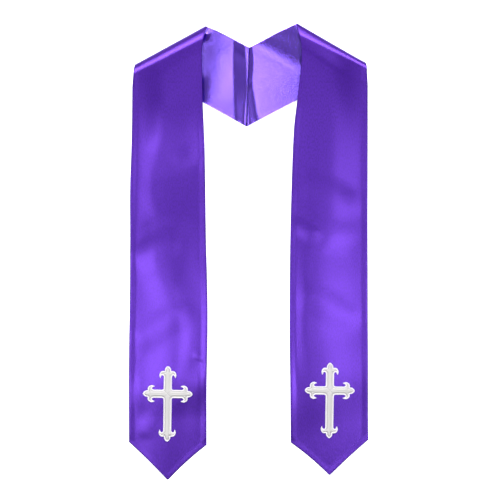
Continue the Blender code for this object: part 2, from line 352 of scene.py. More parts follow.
@dataclass(frozen=True)
class Sewing:
    """How thick a layer is over its width: rolled at the edge, fuller over the allowance.

    With e the distance from the edge, the outside lies at
    gap + wall * (rim + (1 - rim) * sqrt(1 - (1 - e / roll)^2)), plus the allowance's rise.
    """

    gap: float = 0.15
    wall: float = 0.8
    rim: float = 0.12
    roll: float = 1.3
    allowance: float = 2.0
    step: float = 9.0
    rise: float = 0.8

    def over_allowance(self, from_edge: np.ndarray) -> np.ndarray:
        """How much of the allowance's rise there is at a distance from the edge, 0 to 1."""
        return 1 - smooth_step((from_edge - self.allowance) / self.step)

    def outside(self, from_edge: np.ndarray, full: np.ndarray) -> np.ndarray:
        """Distance of the layer's outside from the middle surface.

        Args:
            from_edge: Distance of each point from the nearest edge.
            full: How much of the allowance's rise there is, 0 to 1.

        Returns:
            Millimetres, one for each point.
        """
        turn = np.sqrt(1 - (1 - np.clip(from_edge / self.roll, 0, 1)) ** 2)
        return self.gap + self.wall * (self.rim + (1 - self.rim) * turn) + self.rise * full * turn


@dataclass(frozen=True)
class Cloth:
    """The middle surface of a band as arrays of rows by columns."""

    points: np.ndarray
    from_edge: np.ndarray
    full: np.ndarray
    uv: np.ndarray


@dataclass(frozen=True)
class Band:
    """One half of the stole. Distances from the centre line are positive outwards."""

    name: str
    side: int
    fold_inner: tuple[float, float]
    fold_outer: tuple[float, float]
    lower_edge_meets_fold: float
    edge_on_nose: tuple[float, float]
    roll_at_neck: Roll
    roll_at_arm: Roll
    edges: tuple[Edge, ...]
    hem_inner: float
    hem_outer: float
    hem_tip: float
    front_ridges: tuple[Ridge, ...]
    front_creases: tuple[Crease, ...]
    yoke_ridges: tuple[Ridge, ...]
    yoke_creases: tuple[Crease, ...]
    sewing: Sewing = Sewing()
    yoke_rows: int = 44
    under_rows: int = 16
    over_rows: int = 26
    run_rows: int = 18
    front_rows: int = 270
    hem_rows: int = 14

    def fold_frame(self) -> tuple[np.ndarray, np.ndarray, np.ndarray]:
        """The fold's inner end, the direction along it to the arm, and the one inwards."""
        start = np.array([self.side * self.fold_inner[0], self.fold_inner[1]])
        end = np.array([self.side * self.fold_outer[0], self.fold_outer[1]])
        along = (end - start) / np.linalg.norm(end - start)
        inward = np.array([-along[1], along[0]])
        return start, along, inward * (-1.0 if inward[1] > 0 else 1.0)

    def column_shares(self) -> np.ndarray:
        """Shares of the width with columns, close together over the sewn edges.

        Returns:
            Shares from 0 at the inner edge to 1 at the outer one.
        """
        near = np.array([0, 0.12, 0.35, 0.7, 1.15, 1.7, 2.4, 3.4, 4.6, 6, 7.4, 8.5, 9.2, 9.9, 10.8])
        near = near / WIDTH_AT_HEM
        middle = np.linspace(near[-1], 1 - near[-1], 52)[1:-1]
        return np.concatenate([near, middle, 1 - near[::-1]])

    def relief(
        self, x: np.ndarray, y: np.ndarray, ridges: tuple[Ridge, ...], creases: tuple[Crease, ...]
    ) -> np.ndarray:
        """The sum of some ridges and creases over plan places.

        Args:
            x: Places across the stole.
            y: Places along it.
            ridges: The long swells.
            creases: The creases.

        Returns:
            Heights in millimetres.
        """
        total = np.zeros_like(x)
        for ridge in ridges:
            total = total + ridge.at(self.side * x, y)
        for crease in creases:
            total = total + crease.at(x, y)
        return total

    def front_height(self, x: np.ndarray, y: np.ndarray) -> np.ndarray:
        """Height of the front's middle surface over plan places.

        The roll's section rises from its nose to its crown. From there the height falls by
        half a cosine wave to the floor. The ridges and creases are added to it.

        Args:
            x: Plan X of each place.
            y: Plan Y of each place.

        Returns:
            Millimetres above the surface that the stole lies on.
        """
        start, along, inward = self.fold_frame()
        dx, dy = x - start[0], y - start[1]
        inwards = dx * inward[0] + dy * inward[1]
        across = np.clip((dx * along[0] + dy * along[1]) / self.lower_edge_meets_fold, 0, 1)
        roll = self.roll_at_neck.towards(self.roll_at_arm, across)
        nose_side = roll.over(np.clip(1 - inwards / roll.crown_reach, 0, 1))
        way = np.clip((inwards - roll.crown_reach) / (LANDING - roll.crown_reach), 0, 1)
        run = REST_HEIGHT + (roll.crown_height - REST_HEIGHT) * 0.5 * (1 + np.cos(np.pi * way))
        height = np.where(inwards < roll.crown_reach, nose_side, run)
        relief = self.relief(x, y, self.front_ridges, self.front_creases)
        return np.maximum(height + relief * smooth_step(inwards / ON_LINE), REST_HEIGHT)

    def on_edges(self, plan: np.ndarray, shares: np.ndarray, amount: np.ndarray) -> np.ndarray:
        """Plan places moved sideways to their share of the way between the front's edges.

        Args:
            plan: Plan places, with X and Y on the last axis.
            shares: Share of the width of each column.
            amount: How much of the move is made, 0 to 1.

        Returns:
            The moved plan places.
        """
        y = plan[..., 1]
        rows = np.array([[r.y, r.inner, r.outer] for r in self.edges])
        inner = smooth_table(y, rows[:, 0], rows[:, 1])
        outer = smooth_table(y, rows[:, 0], rows[:, 2])
        wanted = self.side * (inner + shares * (outer - inner))
        moved = plan.copy()
        moved[..., 0] += (wanted - plan[..., 0]) * amount
        return moved

    def hem_lines(self, shares: np.ndarray) -> tuple[np.ndarray, np.ndarray]:
        """The hem across the width.

        The point is a tent between the corners, pulled in by a half sine on each side.

        Args:
            shares: Share of the width of each column.

        Returns:
            Y of a square hem between the corners, and of the pointed hem.
        """
        square = self.hem_inner + (self.hem_outer - self.hem_inner) * shares
        towards_tip = 1.0 - np.abs(2.0 * shares - 1.0)
        length_share = towards_tip - HEM_HOLLOW * np.sin(np.pi * towards_tip)
        return square, square + (self.hem_tip - square) * length_share

    def yoke(self, shares: np.ndarray) -> tuple[np.ndarray, np.ndarray, np.ndarray]:
        """The yoke: straight lines from the seam to where the roll leaves the floor.

        Args:
            shares: Share of the width of each column.

        Returns:
            The yoke's points, and for each column the place along the fold where it leaves
            the yoke, and a row each of its rise and its slope there.
        """
        start, along, inward = self.fold_frame()
        seam = np.outer(1 - shares, SEAM_TOP) + np.outer(shares, SEAM_POINT)
        seam[:, 0] += self.side * SEAM_GAP / 2
        target = start + np.outer(shares * self.lower_edge_meets_fold, along)
        roll = self.roll_at_neck.towards(self.roll_at_arm, shares)
        reach = 1 - roll.under_reach / ((seam - start) @ inward)
        contact = seam + (target - seam) * reach[:, None]
        near_seam = np.array([0, 0.12, 0.35, 0.7, 1.2, 1.8, 2.6]) / 90.0
        steps = np.concatenate([near_seam, np.linspace(near_seam[-1], 1, self.yoke_rows)[1:]])
        plan = seam + (contact - seam) * steps[:, None, None]
        relief = self.relief(plan[..., 0], plan[..., 1], self.yoke_ridges, self.yoke_creases)
        height = REST_HEIGHT + np.maximum(relief, 0.0)
        before = (plan[-2] - plan[-1]) @ inward
        arrival = np.stack([height[-1] - REST_HEIGHT, (height[-1] - height[-2]) / before])
        return np.dstack([plan, height]), (contact - start) @ along, arrival

    def roll_rows(
        self, shares: np.ndarray, contact_along: np.ndarray, arrival: np.ndarray
    ) -> np.ndarray:
        """The roll: a quarter ellipse under its nose, its section over it, and the run after.

        The yoke's last slope goes straight on under the roll, and the quarter ellipse makes
        up what is then left to the nose. The edges
        wind round the roll at their angle to the fold, so a column moves along the fold in
        step with its arc length.

        Args:
            shares: Share of the width of each column.
            contact_along: Where each column leaves the yoke, along the fold.
            arrival: How far each column is above its lowest level there, and its slope.

        Returns:
            The rows' points.
        """
        start, along, inward = self.fold_frame()
        roll = self.roll_at_neck.towards(self.roll_at_arm, shares)
        low, high = self.edge_on_nose
        nose_along = low + shares * (high - low)

        turn = np.linspace(0, np.pi / 2, self.under_rows + 1)[1:, None]
        inwards = roll.under_reach * (1 - np.sin(turn))
        climb = arrival[1] * roll.under_reach
        straight = REST_HEIGHT + arrival[0] + climb * np.sin(turn)
        left_over = roll.nose_height - REST_HEIGHT - arrival[0] - climb
        height = straight + left_over * (1 - np.cos(turn))
        at = contact_along + (nose_along - contact_along) * np.sin(turn)
        plan = start + at[..., None] * along + inwards[..., None] * inward
        under = np.dstack([plan, height])

        turn = np.linspace(0, np.pi / 2, self.over_rows + 1)[1:, None]
        run = np.linspace(0, 1, self.run_rows + 1)[1:, None]
        over = roll.crown_reach * (1 - np.cos(turn))
        over_height = roll.over(np.cos(turn) * np.ones_like(shares))
        beyond = roll.crown_reach + (RUN_START - roll.crown_reach) * run
        inwards = np.vstack([over, beyond])
        way = (beyond - roll.crown_reach) / (LANDING - roll.crown_reach)
        run_height = roll.crown_height * 0.5 * (1 + np.cos(np.pi * way))
        first = np.vstack([np.zeros_like(shares), roll.nose_height])
        section = np.stack([inwards, np.vstack([over_height, run_height])])
        steps = np.diff(np.concatenate([first[:, None], section], axis=1), axis=1)
        arc = np.cumsum(np.hypot(steps[0], steps[1]), axis=0)
        at = nose_along + along[1] / inward[1] * arc
        plan = start + at[..., None] * along + inwards[..., None] * inward
        plan = self.on_edges(plan, shares, smooth_step(inwards / ON_LINE))
        return np.vstack([under, np.dstack([plan, self.front_height(plan[..., 0], plan[..., 1])])])

    def front(self, shares: np.ndarray, top: np.ndarray) -> np.ndarray:
        """The front, from the end of the roll's rows to the pointed hem.

        Args:
            shares: Share of the width of each column.
            top: Plan Y of the row before, for each column.

        Returns:
            The rows' points.
        """
        square, hem = self.hem_lines(shares)
        last = 12.0 / (top.min() - square.max())
        steps = np.concatenate(
            [
                np.linspace(0, 1 - last, self.front_rows + 1)[1:],
                1 - last * np.linspace(1, 0, self.hem_rows + 1)[1:] ** 1.6,
            ]
        )[:, None]
        y = top + (square - top) * steps
        y = y + (hem - square) * smooth_step((steps - HEM_START) / (1 - HEM_START))
        plan = self.on_edges(np.dstack([np.zeros_like(y), y]), shares, np.ones_like(y))
        return np.dstack([plan, self.front_height(plan[..., 0], plan[..., 1])])

    def middle(self) -> Cloth:
        """The surface between face and lining, from the centre back seam to the hem.

        Returns:
            Its points, each point's distance from the nearest sewn edge, how full the
            allowance makes it, and its place in the flat cloth, with U across the band and V
            along it in metres.
        """
        shares = self.column_shares()
        yoke, contact_along, arrival = self.yoke(shares)
        roll = self.roll_rows(shares, contact_along, arrival)
        front = self.front(shares, roll[-1, :, 1])
        points = np.vstack([yoke, roll, front])

        steps = np.linalg.norm(np.diff(points, axis=0), axis=2)
        along = np.vstack([np.zeros((1, len(shares))), np.cumsum(steps, axis=0)])
        widening = along / along[-1:]
        width = WIDTH_AT_NECK + (WIDTH_AT_HEM - WIDTH_AT_NECK) * widening
        _, hem = self.hem_lines(shares)
        from_hem = along[-1:] - along
        tip_slope = abs(self.hem_tip - self.hem_inner) / (WIDTH_AT_HEM / 2)
        seam_way = SEAM_TOP - SEAM_POINT
        column_way = yoke[-1, 0, :2] - yoke[0, 0, :2]
        slant = abs(seam_way[0] * column_way[1] - seam_way[1] * column_way[0])
        slant /= np.linalg.norm(seam_way) * np.linalg.norm(column_way)
        from_side = np.minimum(shares, 1 - shares) * width
        from_tip = from_hem / math.hypot(1.0, tip_slope)
        on_sides = smooth_step((along - FULL_FROM) / (FULL_AT - FULL_FROM))
        full = np.maximum(
            self.sewing.over_allowance(from_side) * on_sides * smooth_step(from_tip / 12.0),
            self.sewing.over_allowance(from_tip) * HEM_FULLNESS,
        )
        uv = np.dstack([(shares - 0.5) * width, hem + from_hem]) * MM
        return Cloth(
            points=points,
            from_edge=np.minimum.reduce([from_side, from_tip, along * slant]),
            full=full,
            uv=uv,
        )

    def build(self, layer: Layer, cloth: Cloth) -> Any:
        """The closed shell of one layer.

        Args:
            layer: Which of the band's two layers.
            cloth: The band's middle surface.

        Returns:
            The new object.
        """
        lengthways = np.gradient(cloth.points, axis=0)
        crossways = np.gradient(cloth.points, axis=1)
        out = np.cross(lengthways, crossways) * self.side
        out /= np.linalg.norm(out, axis=2, keepdims=True)
        way = float(layer.value)
        full = cloth.full if layer is Layer.FACE else np.zeros_like(cloth.full)
        outwards = self.sewing.outside(cloth.from_edge, full)
        outside = cloth.points + out * way * outwards[..., None]
        inside = cloth.points + out * way * self.sewing.gap
        rows, columns = cloth.from_edge.shape
        count = rows * columns
        index = np.arange(count).reshape(rows, columns)
        border = np.concatenate([index[:, 0], index[-1, 1:], index[-2::-1, -1], index[0, -2:0:-1]])
        after = np.roll(border, -1)
        rim = np.column_stack([border + count, after + count, after, border])
        quads = np.vstack([grid_quads(rows, columns), grid_quads(rows, columns, count)[:, ::-1], rim])
        if self.side * way < 0:
            quads = quads[:, ::-1]
        verts = np.vstack([outside.reshape(-1, 3), inside.reshape(-1, 3)])
        uv = np.tile(cloth.uv.reshape(-1, 2), (2, 1))
        return mesh_object(f"{self.name}_{layer.word}_cloth", verts, quads, uv)


LEFT = Band(
    name="left",
    side=-1,
    fold_inner=(68.9, 375.2),
    fold_outer=(193.0, 307.6),
    lower_edge_meets_fold=136.0,
    edge_on_nose=(2.0, 136.5),
    roll_at_neck=Roll(
        under_reach=15.0, nose_height=6.0, crown_reach=20.0, crown_height=16.5, power=1.5
    ),
    roll_at_arm=Roll(
        under_reach=7.0, nose_height=5.5, crown_reach=16.0, crown_height=14.5, power=1.6
    ),
    edges=(
        Edge(y=319.0, inner=78.0, outer=192.6),
        Edge(y=246.0, inner=76.2, outer=193.0),
        Edge(y=186.0, inner=73.7, outer=194.2),
        Edge(y=102.0, inner=72.2, outer=197.4),
        Edge(y=19.0, inner=71.1, outer=197.6),
        Edge(y=-64.0, inner=68.9, outer=197.9),
        Edge(y=-106.0, inner=68.4, outer=198.4),
        Edge(y=-148.0, inner=68.7, outer=199.2),
        Edge(y=-231.0, inner=70.2, outer=199.8),
        Edge(y=-320.0, inner=70.2, outer=199.5),
    ),
    hem_inner=-322.2,
    hem_outer=-317.3,
    hem_tip=-380.7,
    front_ridges=(
        Ridge(
            stations=(
                Station(y=325, crest=136, inner=200, outer=48, height=1.2),
                Station(y=270, crest=132, inner=130, outer=54, height=3.0),
                Station(y=238, crest=132, inner=130, outer=56, height=4.8),
                Station(y=195, crest=136, inner=130, outer=54, height=4.6),
                Station(y=162, crest=143, inner=110, outer=48, height=2.6),
                Station(y=125, crest=156, inner=90, outer=30, height=1.4),
                Station(y=95, crest=156, inner=90, outer=32, height=1.6),
                Station(y=55, crest=146, inner=80, outer=42, height=2.2),
                Station(y=20, crest=150, inner=70, outer=44, height=2.2),
                Station(y=-40, crest=140, inner=60, outer=50, height=2.2),
                Station(y=-90, crest=117, inner=50, outer=66, height=2.0),
                Station(y=-150, crest=110, inner=44, outer=76, height=2.4),
                Station(y=-195, crest=118, inner=44, outer=70, height=2.6),
                Station(y=-235, crest=124, inner=46, outer=64, height=1.0),
                Station(y=-275, crest=150, inner=50, outer=40, height=1.0),
                Station(y=-310, crest=150, inner=50, outer=40, height=1.0),
            ),
        ),
        Ridge(
            stations=(
                Station(y=60, crest=74, inner=4, outer=36, height=0.0),
                Station(y=0, crest=70, inner=4, outer=50, height=1.2),
                Station(y=-60, crest=64, inner=4, outer=64, height=3.4),
                Station(y=-150, crest=63, inner=4, outer=64, height=4.4),
                Station(y=-212, crest=64, inner=4, outer=64, height=4.2),
                Station(y=-246, crest=70, inner=4, outer=50, height=1.6),
                Station(y=-310, crest=72, inner=4, outer=36, height=0.0),
            ),
        ),
    ),
    front_creases=(
        Crease(start=(-200, -236), end=(-66, -232), left=50, right=48, height=1.6, fade=20),
        Crease(start=(-196, -296), end=(-150, -300), left=34, right=18, height=0.6, fade=24),
        Crease(start=(-205, -20), end=(-105, 32), left=30, right=34, height=0.9, fade=30),
        Crease(start=(-202, -160), end=(-90, -84), left=32, right=36, height=1.1, fade=34),
        Crease(start=(-132, 144), end=(-80, 172), left=24, right=24, height=0.7, fade=24),
        Crease(start=(-68, -181), end=(-96, -170), left=9, right=12, height=0.5, fade=12),
    ),
    yoke_ridges=(
        Ridge(
            stations=(
                Station(y=345, crest=27, inner=22, outer=250, height=3.6),
                Station(y=300, crest=27, inner=24, outer=250, height=3.6),
                Station(y=262, crest=25, inner=22, outer=250, height=3.4),
                Station(y=234, crest=23, inner=16, outer=250, height=3.0),
                Station(y=200, crest=21, inner=13, outer=250, height=2.6),
            ),
            crest_softness=0.12,
            foot_softness=0.12,
        ),
    ),
    yoke_creases=(
        Crease(start=(-80, 304), end=(-83, 238), left=17, right=20, height=-1.3, fade=22),
        Crease(start=(-79, 396), end=(-80, 348), left=17, right=21, height=-1.8, fade=12),
        Crease(start=(-48, 352), end=(-52, 225), left=60, right=30, height=0.35, fade=30),
    ),
)

RIGHT = Band(
    name="right",
    side=1,
    fold_inner=(77.2, 378.6),
    fold_outer=(197.4, 311.0),
    lower_edge_meets_fold=135.7,
    edge_on_nose=(2.5, 134.2),
    roll_at_neck=Roll(
        under_reach=26.0, nose_height=12.0, crown_reach=17.0, crown_height=19.0, power=1.35
    ),
    roll_at_arm=Roll(
        under_reach=7.0, nose_height=5.5, crown_reach=11.0, crown_height=12.5, power=1.8
    ),
    edges=(
        Edge(y=319.0, inner=87.6, outer=197.0),
        Edge(y=292.0, inner=85.1, outer=197.2),
        Edge(y=252.0, inner=80.4, outer=197.3),
        Edge(y=206.0, inner=75.2, outer=197.5),
        Edge(y=186.0, inner=74.1, outer=197.6),
        Edge(y=102.0, inner=71.1, outer=197.9),
        Edge(y=19.0, inner=69.1, outer=198.0),
        Edge(y=-64.0, inner=68.2, outer=198.3),
        Edge(y=-148.0, inner=68.1, outer=198.4),
        Edge(y=-231.0, inner=69.2, outer=198.6),
        Edge(y=-320.0, inner=69.9, outer=199.1),
    ),
    hem_inner=-318.2,
    hem_outer=-313.3,
    hem_tip=-372.7,
    front_ridges=(
        Ridge(
            stations=(
                Station(y=335, crest=124, inner=200, outer=60, height=3.6),
                Station(y=290, crest=126, inner=130, outer=64, height=4.6),
                Station(y=240, crest=128, inner=130, outer=68, height=5.0),
                Station(y=200, crest=128, inner=124, outer=70, height=4.9),
                Station(y=150, crest=128, inner=116, outer=70, height=4.7),
                Station(y=100, crest=128, inner=104, outer=68, height=4.2),
                Station(y=55, crest=124, inner=80, outer=72, height=3.8),
                Station(y=30, crest=122, inner=74, outer=74, height=3.5),
                Station(y=0, crest=108, inner=56, outer=78, height=3.0),
                Station(y=-50, crest=104, inner=50, outer=84, height=3.2),
                Station(y=-100, crest=102, inner=44, outer=88, height=3.2),
                Station(y=-160, crest=104, inner=44, outer=86, height=2.6),
                Station(y=-210, crest=112, inner=44, outer=72, height=1.2),
                Station(y=-260, crest=120, inner=40, outer=60, height=0.6),
                Station(y=-310, crest=120, inner=40, outer=60, height=0.2),
            ),
        ),
    ),
    front_creases=(
        Crease(start=(40, -253), end=(235, -175), left=90, right=80, height=2.6, fade=20),
        Crease(start=(64, 54), end=(124, 22), left=15, right=22, height=0.9, fade=26),
        Crease(start=(78, 128), end=(194, 66), left=32, right=38, height=0.8, fade=34),
        Crease(start=(76, -58), end=(194, -124), left=32, right=36, height=0.9, fade=34),
        Crease(start=(212, -302), end=(122, -382), left=9, right=11, height=1.2, fade=16),
    ),
    yoke_ridges=(
        Ridge(
            stations=(
                Station(y=345, crest=5.5, inner=5.5, outer=160, height=1.3),
                Station(y=314, crest=7.6, inner=7.5, outer=160, height=1.6),
                Station(y=284, crest=5.4, inner=6.5, outer=160, height=1.4),
                Station(y=252, crest=8.6, inner=9.5, outer=160, height=1.9),
                Station(y=219, crest=13.8, inner=13, outer=160, height=2.6),
                Station(y=200, crest=15, inner=13, outer=160, height=2.6),
            ),
            crest_softness=0.12,
            foot_softness=0.12,
        ),
    ),
    yoke_creases=(
        Crease(start=(-13.1, 445.5), end=(146.9, 355.5), left=20, right=84, height=11.0, fade=25),
    ),
)


@dataclass(frozen=True)
class FinialPoint:
    """A point of the flowered arm end, back from the tip and out from the arm's axis."""

    from_tip: float
    out: float
    corner: bool


@dataclass(frozen=True)
class EmbroideredCross:
    """A Latin cross with flowered ends: a raised stitched core and a corded border."""

    band: Band
    centre: tuple[float, float]
    lean: float
    up: float = 46.3
    down: float = 79.7
    out: float = 41.6
    arm: float = 13.8
    fillet: float = 2.4
    finial: tuple[FinialPoint, ...] = (
        FinialPoint(from_tip=17.6, out=6.9, corner=True),
        FinialPoint(from_tip=15.3, out=9.0, corner=False),
        FinialPoint(from_tip=17.0, out=11.0, corner=False),
        FinialPoint(from_tip=19.3, out=11.8, corner=False),
        FinialPoint(from_tip=19.5, out=13.1, corner=False),
        FinialPoint(from_tip=14.4, out=14.3, corner=False),
        FinialPoint(from_tip=9.9, out=12.2, corner=False),
        FinialPoint(from_tip=8.2, out=9.0, corner=False),
        FinialPoint(from_tip=8.4, out=5.4, corner=True),
        FinialPoint(from_tip=5.0, out=5.2, corner=False),
        FinialPoint(from_tip=1.7, out=3.0, corner=False),
        FinialPoint(from_tip=0.0, out=0.0, corner=False),
    )
    cord_width: float = 2.3
    cord_height: float = 2.0
    stitch: float = 0.8
    core_height: float = 2.7
    core_edge: float = 0.5
    core_start: float = 2.0
    core_slope: float = 3.0
    valley_height: float = 0.35
    crossing_reach: float = 9.0
    drawn_in: float = 0.8
    rib: float = 0.1
    axis_groove: float = 0.3
    shaded_groove: float = 1.0
    shaded_side: float = 2.8
    cell: float = 0.35

    def outline(self) -> np.ndarray:
        """The cross's outline, anticlockwise round its crossing, evenly spaced.

        Each arm end is the finial's points mirrored about the arm's axis, the arms are
        straight between them, and a Catmull-Rom curve runs through the points that are
        not corners.

        Returns:
            Points about 0.2 mm apart.
        """
        half_arm = self.arm / 2
        root = half_arm + self.fillet
        mirrored = self.finial[-2::-1]
        points: list[np.ndarray] = []
        corners: list[bool] = []
        for angle, length in ((90, self.up), (180, self.out), (270, self.down), (0, self.out)):
            ahead = np.array([math.cos(math.radians(angle)), math.sin(math.radians(angle))])
            left = np.array([-ahead[1], ahead[0]])
            points.append(ahead * root - left * half_arm)
            corners.append(True)
            for sign, run in ((-1.0, self.finial), (1.0, mirrored)):
                points += [ahead * (length - p.from_tip) + left * sign * p.out for p in run]
                corners += [p.corner for p in run]
            points += [
                ahead * root + left * half_arm,
                (ahead + left) * (root - self.fillet / math.sqrt(2)),
            ]
            corners += [True, False]
        here, sharp = np.array(points), np.array(corners)[:, None]
        there, sharp_there = np.roll(here, -1, axis=0), np.roll(sharp, -1, axis=0)
        before = np.where(sharp, here, np.roll(here, 1, axis=0))
        after = np.where(sharp_there, there, np.roll(here, -2, axis=0))
        t = (np.arange(16) / 16)[None, :, None]
        a, b, c, d = (v[:, None] for v in (here, there, before, after))
        curve = 0.5 * (
            2 * a + (b - c) * t + (2 * c - 5 * a + 4 * b - d) * t**2 + (3 * a - c - 3 * b + d) * t**3
        )
        return self.evenly(curve.reshape(-1, 2), self.stitch / 4)

    @staticmethod
    def evenly(ring: np.ndarray, spacing: float) -> np.ndarray:
        """A closed ring of points, spaced evenly along its length.

        Args:
            ring: The ring's points.
            spacing: The wanted spacing.

        Returns:
            The new ring.
        """
        closed = np.vstack([ring, ring[:1]])
        steps = np.linalg.norm(np.diff(closed, axis=0), axis=1)
        arc = np.concatenate([[0.0], np.cumsum(steps)])
        count = 4 * round(arc[-1] / spacing / 4)
        at = np.arange(count) * arc[-1] / count
        return np.column_stack([np.interp(at, arc, closed[:, k]) for k in (0, 1)])

    def placed(self, flat: np.ndarray, height: np.ndarray) -> np.ndarray:
        """Points of the cross laid on the front: leant, moved, and lifted by the cloth.

        Args:
            flat: Places in the cross's own plane.
            height: Height of each above the cloth's face.

        Returns:
            Places in plan millimetres.
        """
        lean = math.radians(self.lean)
        turn = np.array([[math.cos(lean), math.sin(lean)], [-math.sin(lean), math.cos(lean)]])
        plan = flat @ turn + np.array([self.band.side * self.centre[0], self.centre[1]])
        cloth = self.band.front_height(plan[:, 0], plan[:, 1])
        face = self.band.sewing.gap + self.band.sewing.wall
        return np.column_stack([plan, cloth + face + height])

    def cord(self) -> Any:
        """The border: a bead of satin stitches carried along the outline.

        Its path is the outline moved in by half the cord's width and smoothed, and its
        section is half an ellipse whose size swells with each stitch.

        Returns:
            The new object.
        """
        path = self.outline()
        for _ in range(3):
            path = (np.roll(path, 1, axis=0) + path + np.roll(path, -1, axis=0)) / 3
        tangent = np.roll(path, -1, axis=0) - np.roll(path, 1, axis=0)
        for _ in range(4):
            tangent = (np.roll(tangent, 1, axis=0) + tangent + np.roll(tangent, -1, axis=0)) / 3
        tangent /= np.linalg.norm(tangent, axis=1, keepdims=True)
        inwards = np.column_stack([-tangent[:, 1], tangent[:, 0]])
        path = path + inwards * self.cord_width / 2
        for _ in range(6):
            path = (np.roll(path, 1, axis=0) + path + np.roll(path, -1, axis=0)) / 3
        count = len(path)
        swell = 1 + 0.06 * np.cos(2 * np.pi * np.arange(count) / 4)
        section = np.linspace(0, np.pi, 9)
        beside = -np.cos(section)[None, :] * self.cord_width / 2 * swell[:, None]
        height = np.sin(section)[None, :] * self.cord_height * swell[:, None]
        flat = path[:, None, :] - inwards[:, None, :] * beside[..., None]
        verts = self.placed(flat.reshape(-1, 2), height.ravel())
        quads = grid_quads(count, len(section), closed_rows=True)
        floor = np.arange(count) * len(section)
        last = floor + len(section) - 1
        under = np.column_stack([floor, last, np.roll(last, -1), np.roll(floor, -1)])
        return mesh_object(f"{self.band.name}_cross_cord", verts, np.vstack([quads, under]), None)

    def core(self) -> Any:
        """The core: a height field over the cross, clipped to the inside of its outline.

        With d the distance from the outline, the core rises as sin of d over its slope.
        Fishbone stitches run across each arm and meet on its axis, the cloth is drawn in
        along the crossing's two diagonals, and a groove parts the core from the cord on the
        right and lower side of each arm. Each groove's section is a bell curve.

        Returns:
            The new object.
        """
        ring = self.outline()[::3]
        low, high = ring.min(axis=0) - self.cell, ring.max(axis=0) + self.cell
        xs, ys = (np.arange(low[k], high[k], self.cell) for k in (0, 1))
        x, y = np.meshgrid(xs, ys)
        flat = np.column_stack([x.ravel(), y.ravel()])
        inside, distance = self.inside(flat, ring)
        keep = inside & (distance > self.core_edge)
        rise = np.sin(np.pi / 2 * np.clip((distance - self.core_start) / self.core_slope, 0, 1))
        height = self.valley_height + (self.core_height - self.valley_height) * rise
        px, py = np.abs(flat[:, 0]), np.abs(flat[:, 1])
        upright = py > px
        along, across = np.where(upright, py, px), np.where(upright, px, py)
        crossing = np.exp(-((along / self.crossing_reach) ** 4))
        height -= self.drawn_in * crossing * np.exp(-(((along - across) / 0.8) ** 2))
        height += self.rib * np.cos(2 * np.pi * (along + 0.35 * across) / self.stitch)
        height -= self.axis_groove * np.exp(-((across / 0.5) ** 2)) * (1 - crossing)
        shaded = np.where(upright, flat[:, 0], -flat[:, 1]) - self.shaded_side
        height -= self.shaded_groove * np.exp(-((shaded / 0.6) ** 2)) * (1 - crossing)
        index = np.full(len(flat), -1)
        index[keep] = np.arange(int(keep.sum()))
        quads = grid_quads(len(ys), len(xs))[:, ::-1]
        quads = index[quads]
        quads = quads[(quads >= 0).all(axis=1)]
        verts = self.placed(flat[keep], height[keep])
        return mesh_object(f"{self.band.name}_cross_core", verts, quads, None)

    @staticmethod
    def inside(points: np.ndarray, ring: np.ndarray) -> tuple[np.ndarray, np.ndarray]:
        """Whether points are inside a ring, by the winding of its sides, and how far from it.

        Args:
            points: The places to test.
            ring: The closed ring's points.

        Returns:
            A mask, and the distance to the nearest of the ring's points.
        """
        wound = np.zeros(len(points))
        nearest = np.full(len(points), np.inf)
        angle = np.arctan2(ring[0, 1] - points[:, 1], ring[0, 0] - points[:, 0])
        for corner in np.roll(ring, -1, axis=0):
            offset = corner - points
            turned = np.arctan2(offset[:, 1], offset[:, 0])
            wound += (turned - angle + np.pi) % (2 * np.pi) - np.pi
            nearest = np.minimum(nearest, np.hypot(offset[:, 0], offset[:, 1]))
            angle = turned
        return np.abs(wound) > np.pi, nearest


LEFT_CROSS = EmbroideredCross(band=LEFT, centre=(134.8, -236.8), lean=-0.8)
RIGHT_CROSS = EmbroideredCross(band=RIGHT, centre=(134.7, -231.2), lean=-0.7)


def add_node(tree: Any, kind: str, settings: dict[str, Any], inputs: dict[Any, Any]) -> Any:
    """Adds a node with its settings and links.

    Args:
        tree: The node tree.
        kind: The node's type name.
        settings: Values of the node's own properties.
        inputs: For each input, a socket to link from or a value to set.

    Returns:
        The new node.
    """
    node = tree.nodes.new(kind)
    for key, value in settings.items():
        setattr(node, key, value)
    for key, value in inputs.items():
        if isinstance(value, bpy.types.NodeSocket):
            tree.links.new(value, node.inputs[key])
        else:
            node.inputs[key].default_value = value
    return node


def new_material(name: str) -> tuple[Any, Any, Any]:
    """A material with an empty tree but for its output.

    Args:
        name: The material's name.

    Returns:
        The material, its tree and its output node.
    """
    material = bpy.data.materials.new(name)
    material.use_nodes = True
    tree = material.node_tree
    tree.nodes.clear()
    output = tree.nodes.new("ShaderNodeOutputMaterial")
    return material, tree, output


